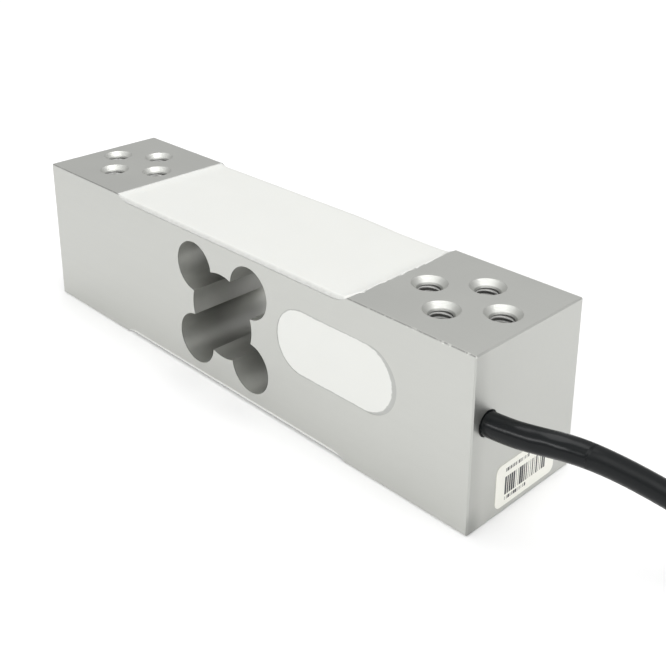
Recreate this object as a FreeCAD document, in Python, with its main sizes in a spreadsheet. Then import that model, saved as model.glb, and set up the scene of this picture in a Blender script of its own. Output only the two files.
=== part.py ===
import FreeCAD, Part
import math
import os
import Sketcher
from FreeCAD import Rotation, Vector

# Single point load cell: an aluminium bending beam with a clover-shaped through window.
# Four strain gauges sit on the floors of the long reliefs, over the thin webs, under a
# coat of white silicone. Their leads go down a drilled passage to a small board in the
# side pocket, where the signal cable is soldered on.
#
# Frame: X along the beam, the cable leaves at +X; Y across it, the pocket opens to -Y;
# Z up, with the underside of the mounting pads at Z = 0 and the beam's middle at X = Y = 0.

SIZES = (
    # the beam
    ("beam_length", 150.0, "overall length"),
    ("beam_width", 35.0, "overall width"),
    ("beam_height", 40.0, "overall height"),
    ("edge_break", 0.3, "chamfer on the outer edges"),
    ("pad_length", 33.0, "mounting pad at each end"),
    ("relief_depth", 1.6, "depth of the relief between the pads"),
    ("relief_radius", 8.0, "cutter radius at the ends of the relief"),
    # the window
    ("web_thickness", 2.2, "metal left between a lobe and the relief floor"),
    ("lobe_radius", 6.5, "bore of the four lobes"),
    ("lobe_spacing", 20.2, "distance between lobes along the beam"),
    ("centre_radius", 11.0, "bore through the middle of the window"),
    # the side pocket and its drillings
    ("pocket_length", 36.0, "length of the side pocket"),
    ("pocket_height", 16.0, "height of the side pocket, twice its end radius"),
    ("pocket_depth", 8.0, "depth of the side pocket"),
    ("pocket_from_end", 19.1, "cable end face to the end of the pocket"),
    ("cable_rise", 23.8, "height of the cable and pocket axis"),
    ("cable_inset", 4.8, "cable axis behind the front face"),
    ("bore_diameter", 5.8, "cable bore"),
    ("passage_diameter", 3.0, "lead passage from relief to pocket"),
    ("passage_from_pad", 4.1, "lead passage before the pad's edge"),
    # the tapped holes
    ("hole_spacing_long", 19.0, "hole to hole along the beam"),
    ("hole_spacing_cross", 15.0, "hole to hole across the beam"),
    ("base_hole_shift", 1.0, "base holes nearer the beam's middle than the top ones"),
    ("tap_drill", 5.0, "tapping drill of the M6 holes"),
    ("hole_depth", 12.0, "full depth of the tapped holes"),
    ("sink_diameter", 8.0, "countersink of the tapped holes"),
    ("sink_angle", 90.0, "countersink angle"),
    # silicone
    ("coat_thickness", 1.1, "silicone over the relief floor"),
    ("coat_radius", 14.0, "sweep of the silicone up to the pads"),
    ("coat_inset", 0.1, "silicone behind the beam's faces"),
    ("coat_rounding", 0.7, "rounded long edges of the coat"),
    ("plug_rounding", 0.5, "rounded rim of the pocket's silicone"),
    # strain gauges
    ("gauge_length", 8.0, "carrier film along the beam"),
    ("gauge_width", 5.0, "carrier film across the beam"),
    ("gauge_film", 0.1, "thickness of the carrier film"),
    ("grid_foil", 0.05, "thickness of the foil grid"),
    ("grid_strand", 0.3, "width of one grid strand"),
    ("grid_pitch", 0.6, "pitch of the grid strands"),
    ("grid_length", 4.4, "length of the grid strands"),
    ("joint_length", 1.0, "solder joint on a gauge, along the beam"),
    ("joint_width", 2.6, "solder joint on a gauge, across the beam"),
    ("joint_height", 0.8, "height of a gauge's solder joint over its film"),
    ("joint_margin", 0.3, "film left beyond the solder joint"),
    # gauge leads
    ("lead_diameter", 0.6, "twin gauge lead"),
    ("lead_lift", 0.2, "lead above the relief floor"),
    ("lead_spacing", 1.4, "between the two leads in the passage"),
    ("lead_bend", 0.8, "bend radius of the leads"),
    ("lead_lane", 5.0, "far lead's lane beside the near gauge"),
    # the board
    ("board_length", 24.0, "compensation board along the beam"),
    ("board_height", 10.0, "compensation board height"),
    ("board_thickness", 1.0, "compensation board thickness"),
    ("board_setback", 2.5, "board centre behind the pocket centre"),
    ("solder_height", 1.2, "height of the board's solder joints"),
    ("solder_reach", 1.6, "length of a solder joint, inwards from the edge"),
    ("solder_width", 1.1, "width of a solder joint"),
    ("solder_margin", 0.4, "board left outside the solder joints"),
    ("core_pitch", 1.9, "pitch of the cable cores on the board"),
    ("chip_length", 3.2, "trimming resistor length"),
    ("chip_width", 1.6, "trimming resistor width"),
    ("chip_height", 0.6, "trimming resistor height, over its end caps"),
    ("chip_ceramic", 0.54, "thickness of a resistor's ceramic"),
    ("chip_cap", 0.5, "length of a resistor's end cap"),
    ("chip_pitch", 5.4, "between resistors along the board"),
    ("chip_row", 2.3, "resistor rows above and below the board's middle"),
    # the cable
    ("cable_diameter", 5.0, "jacket diameter"),
    ("jacket_stub", 3.0, "jacket standing inside the pocket"),
    ("seal_length", 8.0, "rubber seal around the cable in the bore"),
    ("seal_recess", 0.2, "seal behind the end face"),
    ("core_diameter", 1.0, "insulated core"),
    ("core_offset", 0.8, "core axis from the cable axis, both ways"),
    ("core_straight", 1.3, "straight part at each end of a core"),
    ("drain_diameter", 0.6, "bare screen wire"),
    # the wound length and the stripped end
    ("hank_run", 30.0, "straight run of the folded cable"),
    ("hank_radius", 17.5, "middle of the folds at the hank's ends"),
    ("hank_slack", 0.4, "looseness of the folded runs, up and across"),
    ("hank_rounding", 2.25, "rounded corners of the folded runs"),
    ("hank_clearance", 1.0, "gap between the hank and the cable's free lengths"),
    ("tie_width", 6.0, "strap round each side of the hank"),
    ("tie_thickness", 0.4, "thickness of the straps, which the hank rests on"),
    ("tail_length", 22.0, "insulated cores beyond the jacket"),
    ("tail_fan", 3.0, "spread between neighbouring cores on the bench"),
    ("tail_fan_end", 3.45, "spread between the cores' ends"),
    ("tail_gap", 0.05, "core above the bench"),
    ("tip_length", 5.0, "tinned end of a core"),
    ("tip_diameter", 0.7, "tinned strand"),
    # the label
    ("label_length", 20.0, "label across the end face"),
    ("label_height", 10.0, "label height"),
    ("label_corner", 1.6, "label corner radius"),
    ("label_thickness", 0.1, "label stock"),
    ("label_across", 1.2, "label centre behind the beam's middle"),
    ("label_rise", 6.5, "label centre above the base"),
)

# Route of the free cable from the end face to the hank, chosen by hand.
CABLE_ROUTE = (
    (75.0, -12.7, 23.8),
    (84.0, -12.7, 23.8),
    (97.0, -8.0, 23.6),
    (109.0, -2.0, 18.5),
    (121.0, 5.5, 13.0),
    (133.0, 12.0, 9.0),
    (145.0, 17.0, 8.1),
    (157.0, 17.0, 8.1),
)

HANK_LAYERS = 2
HANK_RUNS_WIDE = 2
GRID_STRANDS = 6
THREAD_SIZE = "M6x1.0"
CORE_COLOURS = ("red", "green", "black", "white")

# Straight runs of the leads and of the stripped cores, in mm.
LEAD_STRAIGHT_RUN = 3.0
LEAD_SWERVE_RUN = 8.5
LEAD_TURN_RUN = 8.5
TAIL_STRAIGHT_RUN = 3.0
TAIL_DROP_RUN = 11.0

doc = FreeCAD.newDocument("single_point_load_cell")
sheet = doc.addObject("Spreadsheet::Sheet", "Sizes")
parts = []


def fill_sheet():
    for row, (alias, value, note) in enumerate(SIZES, start=1):
        sheet.set(f"A{row}", note)
        sheet.set(f"B{row}", str(value))
        sheet.setAlias(f"B{row}", alias)
    doc.recompute()


def size(alias):
    return float(getattr(sheet, alias))


def expanded(text):
    """An expression with every size's alias given its sheet."""
    words = text.replace("(", " ( ").replace(")", " ) ").split()
    known = {alias for alias, value, note in SIZES}
    return " ".join(f"Sizes.{word}" if word in known else word for word in words)


def worth(text):
    return float(sheet.evalExpression(expanded(text)))


def bind(thing, prop, text):
    thing.setExpression(prop, expanded(text))


def keep(thing, label):
    """Takes an object as the finished sub-part of that name."""
    thing.Label = label
    parts.append(thing)
    return thing


# ---------------------------------------------------------------- sketch helpers


def new_body(name):
    return doc.addObject("PartDesign::Body", name)


def origin_item(body, role):
    return next(item for item in body.Origin.OriginFeatures if item.Role == role)


def new_sketch(body, name, plane, offset=None):
    sketch = body.newObject("Sketcher::SketchObject", name)
    sketch.AttachmentSupport = [(origin_item(body, plane), "")]
    sketch.MapMode = "FlatFace"
    if offset:
        bind(sketch, "AttachmentOffset.Base.z", offset)
    return sketch


def rule(sketch, kind, *where, text):
    """Adds a dimension whose value is an expression of the sheet's sizes."""
    index = sketch.addConstraint(Sketcher.Constraint(kind, *where, worth(text)))
    sketch.setExpression(f"Constraints[{index}]", expanded(text))


def hold(sketch, kind, *where):
    sketch.addConstraint(Sketcher.Constraint(kind, *where))


def pin_point(sketch, geometry, point, across, up):
    rule(sketch, "DistanceX", -1, 1, geometry, point, text=across)
    rule(sketch, "DistanceY", -1, 1, geometry, point, text=up)


def draw_circle(sketch, radius, across="0", up="0"):
    centre = Vector(worth(across), worth(up), 0)
    circle = sketch.addGeometry(Part.Circle(centre, Vector(0, 0, 1), worth(radius)))
    rule(sketch, "Radius", circle, text=radius)
    pin_point(sketch, circle, 3, across, up)


def draw_rectangle(sketch, width, height, across="0", up="0"):
    half_w, half_h = worth(width) / 2, worth(height) / 2
    middle = Vector(worth(across), worth(up), 0)
    turns = ((-1, -1), (1, -1), (1, 1), (-1, 1))
    corners = [middle + Vector(a * half_w, b * half_h, 0) for a, b in turns]
    first = sketch.GeometryCount
    for i in range(4):
        sketch.addGeometry(Part.LineSegment(corners[i], corners[(i + 1) % 4]))
    for i in range(4):
        hold(sketch, "Coincident", first + i, 2, first + (i + 1) % 4, 1)
        hold(sketch, ("Horizontal", "Vertical")[i % 2], first + i)
    rule(sketch, "DistanceX", first, 1, first, 2, text=width)
    rule(sketch, "DistanceY", first + 1, 1, first + 1, 2, text=height)
    pin_point(sketch, first, 1, f"{across} - ( {width} ) / 2", f"{up} - ( {height} ) / 2")


def draw_slot(sketch, length, height, across, up):
    """A stadium: two half circles joined by straight sides."""
    radius = worth(height) / 2
    reach = worth(length) / 2 - radius
    x, y = worth(across), worth(up)
    up_axis = Vector(0, 0, 1)
    quarter = math.pi / 2
    right = Part.Circle(Vector(x + reach, y, 0), up_axis, radius)
    left = Part.Circle(Vector(x - reach, y, 0), up_axis, radius)
    top = Part.LineSegment(Vector(x + reach, y + radius, 0), Vector(x - reach, y + radius, 0))
    base = Part.LineSegment(Vector(x - reach, y - radius, 0), Vector(x + reach, y - radius, 0))
    sketch.addGeometry(Part.ArcOfCircle(right, -quarter, quarter))
    sketch.addGeometry(top)
    sketch.addGeometry(Part.ArcOfCircle(left, quarter, 3 * quarter))
    sketch.addGeometry(base)
    for i in range(4):
        hold(sketch, "Tangent", i, 2, (i + 1) % 4, 1)
    hold(sketch, "Equal", 0, 2)
    rule(sketch, "Radius", 0, text=f"( {height} ) / 2")
    pin_point(sketch, 0, 3, f"{across} + ( {length} - {height} ) / 2", up)
    pin_point(sketch, 2, 3, f"{across} - ( {length} - {height} ) / 2", up)


def draw_rounded_rectangle(sketch, width, height, corner, across, up):
    half_w, half_h, r = worth(width) / 2, worth(height) / 2, worth(corner)
    x, y = worth(across), worth(up)
    signs = ((1, 1), (-1, 1), (-1, -1), (1, -1))
    for i, (a, b) in enumerate(signs):
        centre = Vector(x + a * (half_w - r), y + b * (half_h - r), 0)
        start = i * math.pi / 2
        circle = Part.Circle(centre, Vector(0, 0, 1), r)
        arc = Part.ArcOfCircle(circle, start, start + math.pi / 2)
        sketch.addGeometry(arc)
    for i in range(4):
        arc, following = sketch.Geometry[i], sketch.Geometry[(i + 1) % 4]
        sketch.addGeometry(Part.LineSegment(arc.EndPoint, following.StartPoint))
    for i in range(4):
        hold(sketch, "Tangent", i, 2, 4 + i, 1)
        hold(sketch, "Tangent", 4 + i, 2, (i + 1) % 4, 1)
        if i:
            hold(sketch, "Equal", 0, i)
    hold(sketch, "Horizontal", 4)
    hold(sketch, "Vertical", 5)
    rule(sketch, "Radius", 0, text=corner)
    side, top = f"( {width} ) / 2 - {corner}", f"( {height} ) / 2 - {corner}"
    pin_point(sketch, 0, 3, f"{across} + {side}", f"{up} + {top}")
    pin_point(sketch, 2, 3, f"{across} - ( {side} )", f"{up} - ( {top} )")


def add_pad(body, sketch, length, both_ways=False, backwards=False):
    pad = body.newObject("PartDesign::Pad", "Pad")
    pad.Profile = sketch
    bind(pad, "Length", length)
    pad.Midplane = both_ways
    pad.Reversed = backwards
    doc.recompute()
    return pad


def add_pocket(body, sketch, depth=None):
    """Cuts right through both ways, or to a depth against the sketch's normal."""
    before = body.Shape.Volume
    pocket = body.newObject("PartDesign::Pocket", "Pocket")
    pocket.Profile = sketch
    if depth:
        bind(pocket, "Length", depth)
    else:
        pocket.Type = "ThroughAll"
        pocket.Midplane = True
    doc.recompute()
    if not body.Shape.Volume < before - 1e-3:
        raise RuntimeError(f"{sketch.Name} of {body.Name} cuts nothing")
    return pocket


def edges_where(feature, test):
    names = []
    for i, edge in enumerate(feature.Shape.Edges, start=1):
        if test(edge):
            names.append(f"Edge{i}")
    return names


def add_fillet(body, base, names, radius):
    fillet = body.newObject("PartDesign::Fillet", "Fillet")
    fillet.Base = (base, names)
    bind(fillet, "Radius", radius)
    doc.recompute()
    return fillet


# ---------------------------------------------------------------- places used by several parts

POCKET_X = "beam_length / 2 - pocket_from_end - pocket_length / 2"
POCKET_FLOOR_Y = "pocket_depth - beam_width / 2"
BOARD_FACE_Y = f"{POCKET_FLOOR_Y} - board_thickness"
LEAD_Y = f"{BOARD_FACE_Y} - solder_height / 2"
BOARD_X = f"{POCKET_X} - board_setback"
CABLE_Y = "cable_inset - beam_width / 2"
LOBE_X = "lobe_spacing / 2"
LOBE_Z = "beam_height / 2 - relief_depth - web_thickness - lobe_radius"
HOLE_X = "beam_length / 2 - pad_length / 2"
BASE_HOLE_X = f"{HOLE_X} - base_hole_shift"
PAD_EDGE_X = "beam_length / 2 - pad_length"
PASSAGE_X = f"{PAD_EDGE_X} - passage_from_pad"
JACKET_END_X = "beam_length / 2 - pocket_from_end - jacket_stub"


# ---------------------------------------------------------------- the beam


def draw_relief(sketch, level, depth, radius, sense):
    """Chain of arc, floor, arc of a relief that opens at the given level. sense is 1 where
    it is cut downwards from the top face and -1 where it is cut upwards from the base."""
    edge = worth(PAD_EDGE_X)
    z, d, r = worth(level), worth(depth), worth(radius)
    floor_z = z - sense * d
    inner = edge - math.sqrt(2 * r * d - d * d)
    sweep = math.acos((r - d) / r)
    straight_on = -sense * math.pi / 2
    first = sketch.GeometryCount
    floor = Part.LineSegment(Vector(-inner, floor_z, 0), Vector(inner, floor_z, 0))
    for side in (-1, 0, 1):
        if side:
            turned = straight_on + side * sense * sweep
            centre = Vector(side * inner, floor_z + sense * r, 0)
            circle = Part.Circle(centre, Vector(0, 0, 1), r)
            ends = sorted((straight_on, turned))
            sketch.addGeometry(Part.ArcOfCircle(circle, *ends))
        else:
            sketch.addGeometry(floor)
    return first


def end_points(sketch, geometry):
    """The point numbers of a curve's ends, the one at lower X first."""
    curve = sketch.Geometry[geometry]
    return (1, 2) if curve.StartPoint.x < curve.EndPoint.x else (2, 1)


def hold_relief(sketch, first, level, depth, radius, sense):
    left, floor, right = first, first + 1, first + 2
    left_in = end_points(sketch, left)[1]
    right_in = end_points(sketch, right)[0]
    hold(sketch, "Tangent", left, left_in, floor, 1)
    hold(sketch, "Tangent", floor, 2, right, right_in)
    hold(sketch, "Horizontal", floor)
    rule(sketch, "Radius", left, text=radius)
    hold(sketch, "Equal", left, right)
    sign = "-" if sense > 0 else "+"
    rule(sketch, "DistanceY", -1, 1, floor, 1, text=f"{level} {sign} {depth}")


def draw_relief_cut(sketch, level, sense):
    first = draw_relief(sketch, level, "relief_depth", "relief_radius", sense)
    left, right = first, first + 2
    edge, z = worth(PAD_EDGE_X), worth(level)
    lid = sketch.addGeometry(Part.LineSegment(Vector(edge, z, 0), Vector(-edge, z, 0)))
    hold_relief(sketch, first, level, "relief_depth", "relief_radius", sense)
    hold(sketch, "Coincident", right, end_points(sketch, right)[1], lid, 1)
    hold(sketch, "Coincident", left, end_points(sketch, left)[0], lid, 2)
    pin_point(sketch, lid, 1, PAD_EDGE_X, level)
    pin_point(sketch, lid, 2, f"0 - ( {PAD_EDGE_X} )", level)


def drill_holes(body, name, offset, pattern_x, from_below):
    """The diamonds of four tapped and countersunk holes on both pads of one face."""
    sketch = new_sketch(body, name, "XY_Plane", offset)
    for end in ("", "0 - "):
        middle = f"{end}( {pattern_x} )"
        for side in ("+", "-"):
            draw_circle(sketch, "tap_drill / 2", f"{middle} {side} hole_spacing_long / 2", "0")
            draw_circle(sketch, "tap_drill / 2", middle, f"0 {side} hole_spacing_cross / 2")
    doc.recompute()
    before = body.Shape.Volume
    hole = body.newObject("PartDesign::Hole", name.replace("sketch", "drilling"))
    hole.Profile = sketch
    doc.recompute()
    hole.Reversed = from_below
    hole.ThreadType = "ISOMetricProfile"
    hole.ThreadSize = THREAD_SIZE
    hole.Threaded = True
    hole.DepthType = "Dimension"
    bind(hole, "Depth", "hole_depth")
    hole.DrillPoint = "Angled"
    hole.HoleCutType = "Countersink"
    hole.HoleCutCustomValues = True
    bind(hole, "HoleCutDiameter", "sink_diameter")
    bind(hole, "HoleCutCountersinkAngle", "sink_angle")
    doc.recompute()
    if not body.Shape.Volume < before - 1:
        raise RuntimeError(f"{name} drills nothing")


def make_spring_body():
    body = new_body("SpringBody")
    block = new_sketch(body, "BlockSketch", "XY_Plane")
    draw_rectangle(block, "beam_length", "beam_width")
    pad = add_pad(body, block, "beam_height")

    chamfer = body.newObject("PartDesign::Chamfer", "EdgeBreak")
    chamfer.Base = (pad, edges_where(pad, lambda edge: True))
    bind(chamfer, "Size", "edge_break")
    doc.recompute()

    reliefs = new_sketch(body, "ReliefSketch", "XZ_Plane")
    draw_relief_cut(reliefs, "beam_height", 1)
    draw_relief_cut(reliefs, "0", -1)
    add_pocket(body, reliefs)

    centre = new_sketch(body, "WindowCentreSketch", "XZ_Plane")
    draw_circle(centre, "centre_radius", "0", "beam_height / 2")
    add_pocket(body, centre)

    lobes = new_sketch(body, "WindowLobeSketch", "XZ_Plane")
    for across in ("+", "-"):
        for up in ("+", "-"):
            x, z = f"0 {across} {LOBE_X}", f"beam_height / 2 {up} ( {LOBE_Z} )"
            draw_circle(lobes, "lobe_radius", x, z)
    add_pocket(body, lobes)

    pocket = new_sketch(body, "PocketSketch", "XZ_Plane", "beam_width / 2")
    draw_slot(pocket, "pocket_length", "pocket_height", POCKET_X, "cable_rise")
    add_pocket(body, pocket, "pocket_depth")

    bore = new_sketch(body, "CableBoreSketch", "YZ_Plane", "beam_length / 2")
    draw_circle(bore, "bore_diameter / 2", CABLE_Y, "cable_rise")
    add_pocket(body, bore, "pocket_from_end + pocket_height / 2")

    passage = new_sketch(body, "LeadPassageSketch", "XY_Plane")
    draw_circle(passage, "passage_diameter / 2", PASSAGE_X, LEAD_Y)
    add_pocket(body, passage)

    drill_holes(body, "TopHolesSketch", "beam_height", HOLE_X, False)
    drill_holes(body, "BaseHolesSketch", None, BASE_HOLE_X, True)
    return keep(body, "spring_body")


# ---------------------------------------------------------------- silicone


def make_coat(name, side, passage_length):
    """Silicone on one relief floor, with the plug that fills the lead passage. It is drawn
    below its pad face and turned over for the underside."""
    body = new_body(name)
    section = new_sketch(body, "CoatSketch", "XZ_Plane")
    lower = draw_relief(section, "0", "relief_depth", "relief_radius", 1)
    upper = draw_relief(section, "0", "relief_depth - coat_thickness", "coat_radius", 1)
    hold_relief(section, lower, "0", "relief_depth", "relief_radius", 1)
    hold_relief(section, upper, "0", "( relief_depth - coat_thickness )", "coat_radius", 1)
    for low, high, outer in ((lower, upper, 0), (lower + 2, upper + 2, 1)):
        low_end = end_points(section, low)[outer]
        high_end = end_points(section, high)[outer]
        hold(section, "Coincident", low, low_end, high, high_end)
        pin_point(section, low, low_end, f"0 - ( {PAD_EDGE_X} )" if outer == 0 else PAD_EDGE_X, "0")
    pad = add_pad(body, section, "beam_width - 2 * coat_inset", both_ways=True)

    level = worth("coat_thickness - relief_depth")
    long_edges = edges_where(pad, lambda edge: on_long_edge(edge, level))
    add_fillet(body, pad, long_edges, "coat_rounding")

    plug = new_sketch(body, "PlugSketch", "XY_Plane", "0 - relief_depth")
    draw_circle(plug, "passage_diameter / 2", PASSAGE_X, f"{side} ( {LEAD_Y} )")
    add_pad(body, plug, passage_length, backwards=True)
    return body


def on_long_edge(edge, level):
    box = edge.BoundBox
    flat = abs(box.ZMax - level) < 1e-6 and abs(box.ZMin - level) < 1e-6
    return flat and box.XLength > 1 and box.YLength < 1e-6


def make_pocket_fill():
    body = new_body("PocketFill")
    section = new_sketch(body, "FillSketch", "XZ_Plane", "beam_width / 2 - pocket_depth")
    draw_slot(section, "pocket_length", "pocket_height", POCKET_X, "cable_rise")
    pad = add_pad(body, section, "pocket_depth - coat_inset")
    front = worth("coat_inset - beam_width / 2")
    rim = edges_where(pad, lambda edge: edge.BoundBox.YMax < front + 1e-6)
    add_fillet(body, pad, rim, "plug_rounding")
    return body


def cut_out(base, inner, label):
    """The base object with room for the pieces that it holds."""
    held = inner[0]
    if len(inner) > 1:
        held = doc.addObject("Part::MultiFuse", f"{base.Name}Held")
        held.Shapes = inner
    cut = doc.addObject("Part::Cut", f"{base.Name}Cut")
    cut.Base = base
    cut.Tool = held
    doc.recompute()
    return keep(cut, label)


# ---------------------------------------------------------------- strain gauges


def make_gauge(label, across, on_top):
    body = new_body("Gauge")
    film = new_sketch(body, "FilmSketch", "XY_Plane")
    draw_rectangle(film, "gauge_length", "gauge_width")
    add_pad(body, film, "gauge_film")

    strand = new_sketch(body, "StrandSketch", "XY_Plane", "gauge_film")
    first_y = f"0 - {GRID_STRANDS - 1} * grid_pitch / 2"
    grid_x = "( joint_margin + joint_length ) / 2"
    draw_rectangle(strand, "grid_length", "grid_strand", f"0 - {grid_x}", first_y)
    first = add_pad(body, strand, "grid_foil")
    grid = body.newObject("PartDesign::LinearPattern", "Grid")
    grid.Originals = [first]
    grid.Direction = (origin_item(body, "Y_Axis"), [""])
    bind(grid, "Length", f"{GRID_STRANDS - 1} * grid_pitch")
    grid.Occurrences = GRID_STRANDS
    body.Tip = grid
    doc.recompute()

    joint = new_sketch(body, "JointSketch", "XY_Plane", "gauge_film")
    joint_x = "gauge_length / 2 - joint_margin - joint_length / 2"
    draw_rectangle(joint, "joint_length", "joint_width", joint_x, "0")
    add_pad(body, joint, "joint_height")

    bind(body, "Placement.Base.x", across)
    if on_top:
        bind(body, "Placement.Base.z", "beam_height - relief_depth")
    else:
        body.Placement.Rotation = Rotation(Vector(1, 0, 0), 180)
        bind(body, "Placement.Base.z", "relief_depth")
    doc.recompute()
    return keep(body, label)


# ---------------------------------------------------------------- wires and cables


def rounded_path(points, radius_at):
    """Straight runs joined by tangent arcs, as one wire, with the arcs' radii."""
    edges, radii = [], []
    start = points[0]
    for before, corner, after in zip(points, points[1:], points[2:]):
        arriving = (corner - before).normalize()
        leaving = (after - corner).normalize()
        half_turn = arriving.getAngle(leaving) / 2
        shorter = min((corner - before).Length, (after - corner).Length)
        radius = radius_at(shorter, half_turn)
        setback = radius * math.tan(half_turn)
        inward = (leaving - arriving).normalize()
        middle = corner + inward * (radius / math.cos(half_turn) - radius)
        arc_start = corner - arriving * setback
        arc_end = corner + leaving * setback
        edges.append(Part.LineSegment(start, arc_start).toShape())
        edges.append(Part.Arc(arc_start, middle, arc_end).toShape())
        radii.append(radius)
        start = arc_end
    edges.append(Part.LineSegment(start, points[-1]).toShape())
    return Part.Wire(edges), radii


def widest_arc(shorter, half_turn):
    return 0.45 * shorter / math.tan(half_turn)


def fixed_arc(radius):
    return lambda shorter, half_turn: min(radius, widest_arc(shorter, half_turn))


def tube(points, diameter, radius_at):
    path, radii = rounded_path(points, radius_at)
    section = Part.Circle(points[0], points[1] - points[0], diameter / 2).toShape()
    solid = path.makePipeShell([Part.Wire(section)], True, False)
    expected = math.pi * diameter**2 / 4 * path.Length
    if abs(solid.Volume / expected - 1) > 0.01:
        raise RuntimeError(f"a tube of {path.Length:.1f} mm has the wrong volume")
    return solid, path.Length, radii


def add_shape(shape, label):
    feature = doc.addObject("Part::Feature", label.title().replace("_", ""))
    feature.Shape = shape
    feature.Placement = FreeCAD.Placement()
    return keep(feature, label)


def make_gauge_lead(label, gauge_x, on_top, near):
    """Twin lead from a gauge's solder joint, along the relief floor, down the passage and
    on to its joint at the board's edge."""
    rise = size("lead_lift") + size("lead_diameter") / 2
    half_board = size("board_height") / 2 - size("solder_margin")
    if on_top:
        floor_z = size("beam_height") - size("relief_depth") + rise
        board_z = size("cable_rise") + half_board
    else:
        floor_z = size("relief_depth") - rise
        board_z = size("cable_rise") - half_board
    start_x = gauge_x + size("gauge_length") / 2 - size("joint_margin")
    apart = size("lead_spacing") / 2
    down_x = worth(PASSAGE_X) + (apart if near else -apart)
    down_y = worth(LEAD_Y)
    turn_x = down_x - LEAD_TURN_RUN
    if near:
        plan = [(start_x, 0), (turn_x, 0), (down_x, down_y)]
    else:
        lane = -size("lead_lane")
        swerve = (start_x + LEAD_STRAIGHT_RUN, 0), (start_x + LEAD_SWERVE_RUN, lane)
        plan = [(start_x, 0), *swerve, (turn_x, lane), (down_x, down_y)]
    points = [Vector(x, y, floor_z) for x, y in plan]
    points.append(Vector(down_x, down_y, board_z))
    solid = tube(points, size("lead_diameter"), fixed_arc(size("lead_bend")))[0]
    return add_shape(solid, label)


def core_places():
    """Core axes around the cable's axis, with the row of each on the board: across, up, row."""
    k = size("core_offset")
    return ((-k, k, 2), (k, k, 1), (k, -k, -1), (-k, -k, -2))


def make_core(label, across, up, row, diameter):
    """A core from the jacket's end to its solder joint on the board."""
    straight = size("core_straight")
    start = Vector(worth(JACKET_END_X), worth(CABLE_Y) + across, size("cable_rise") + up)
    joint_x = worth(f"{BOARD_X} + board_length / 2 - solder_margin")
    joint_z = size("cable_rise") + row * size("core_pitch")
    end = Vector(joint_x, worth(LEAD_Y), joint_z)
    ahead = Vector(-straight, 0, 0)
    points = [start, start + ahead, end - ahead, end]
    return add_shape(tube(points, diameter, widest_arc)[0], label)


def make_cable_entry():
    """The jacketed cable inside the beam, from the pocket to the end face."""
    entry = doc.addObject("Part::Cylinder", "CableEntry")
    bind(entry, "Radius", "cable_diameter / 2")
    bind(entry, "Height", "pocket_from_end + jacket_stub")
    entry.Placement = FreeCAD.Placement(Vector(), Rotation(Vector(0, 1, 0), 90))
    bind(entry, "Placement.Base.x", JACKET_END_X)
    bind(entry, "Placement.Base.y", CABLE_Y)
    bind(entry, "Placement.Base.z", "cable_rise")
    doc.recompute()
    return keep(entry, "cable_entry")


def make_cable_seal():
    body = new_body("CableSeal")
    ring = new_sketch(body, "RingSketch", "YZ_Plane", "beam_length / 2 - seal_recess")
    draw_circle(ring, "bore_diameter / 2", CABLE_Y, "cable_rise")
    draw_circle(ring, "cable_diameter / 2", CABLE_Y, "cable_rise")
    add_pad(body, ring, "seal_length", backwards=True)
    return keep(body, "cable_seal")


def make_cable():
    points = [Vector(*point) for point in CABLE_ROUTE]
    shift = Vector(worth("beam_length / 2"), worth(CABLE_Y), size("cable_rise")) - points[0]
    points[0] += shift
    points[1] += shift
    solid, length, radii = tube(points, size("cable_diameter"), widest_arc)
    print("cable: length", round(length, 1), "radii", [round(r, 1) for r in radii])
    return add_shape(solid, "cable")


HANK_HEIGHT = f"( {HANK_LAYERS} * cable_diameter + hank_slack )"
HANK_HALF_WIDTH = f"( {HANK_RUNS_WIDE} * cable_diameter + hank_slack ) / 2"


def hank_frame():
    """Centre of the hank, the place where the stripped end starts, and the straight run
    that the cable needs to come clear of the folds."""
    last = Vector(*CABLE_ROUTE[-1])
    outer = worth(f"hank_radius + {HANK_HALF_WIDTH}")
    turn = worth(f"hank_radius + ( {HANK_RUNS_WIDE} - 1 ) * cable_diameter / 2")
    near_side = turn - size("cable_diameter") / 2
    run = math.sqrt(outer**2 - near_side**2) + size("hank_clearance")
    centre = Vector(last.x + run + size("hank_run") / 2, last.y - turn, 0)
    low = worth("tie_thickness + hank_slack / 2 + cable_diameter / 2")
    return centre, Vector(last.x, centre.y - turn, low), run


def make_hank():
    """Outer shape of the put-away length, folded into a flat ring of straight runs and
    half turns, with the cable's way in and out."""
    centre, tail, run = hank_frame()
    ring = new_body("HankRing")
    for name, sign, cut in (("HankSketch", "+", False), ("HankOpeningSketch", "-", True)):
        outline = new_sketch(ring, name, "XY_Plane", "tie_thickness")
        width = f"2 * ( hank_radius {sign} {HANK_HALF_WIDTH} )"
        draw_slot(outline, f"hank_run + {width}", width, "0", "0")
        add_pocket(ring, outline) if cut else add_pad(ring, outline, HANK_HEIGHT)
    rims = edges_where(ring.Tip, lambda edge: edge.BoundBox.ZLength < 1e-6)
    add_fillet(ring, ring.Tip, rims, "hank_rounding")
    ring.Placement.Base = centre
    doc.recompute()

    ways = []
    for name, start in (("HankWayIn", Vector(*CABLE_ROUTE[-1])), ("HankWayOut", tail)):
        way = doc.addObject("Part::Cylinder", name)
        bind(way, "Radius", "cable_diameter / 2")
        way.Height = run
        way.Placement = FreeCAD.Placement(start, Rotation(Vector(0, 0, 1), Vector(1, 0, 0)))
        ways.append(way)
    hank = doc.addObject("Part::MultiFuse", "CableHank")
    hank.Shapes = [ring, *ways]
    doc.recompute()
    return keep(hank, "cable_hank")


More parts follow.
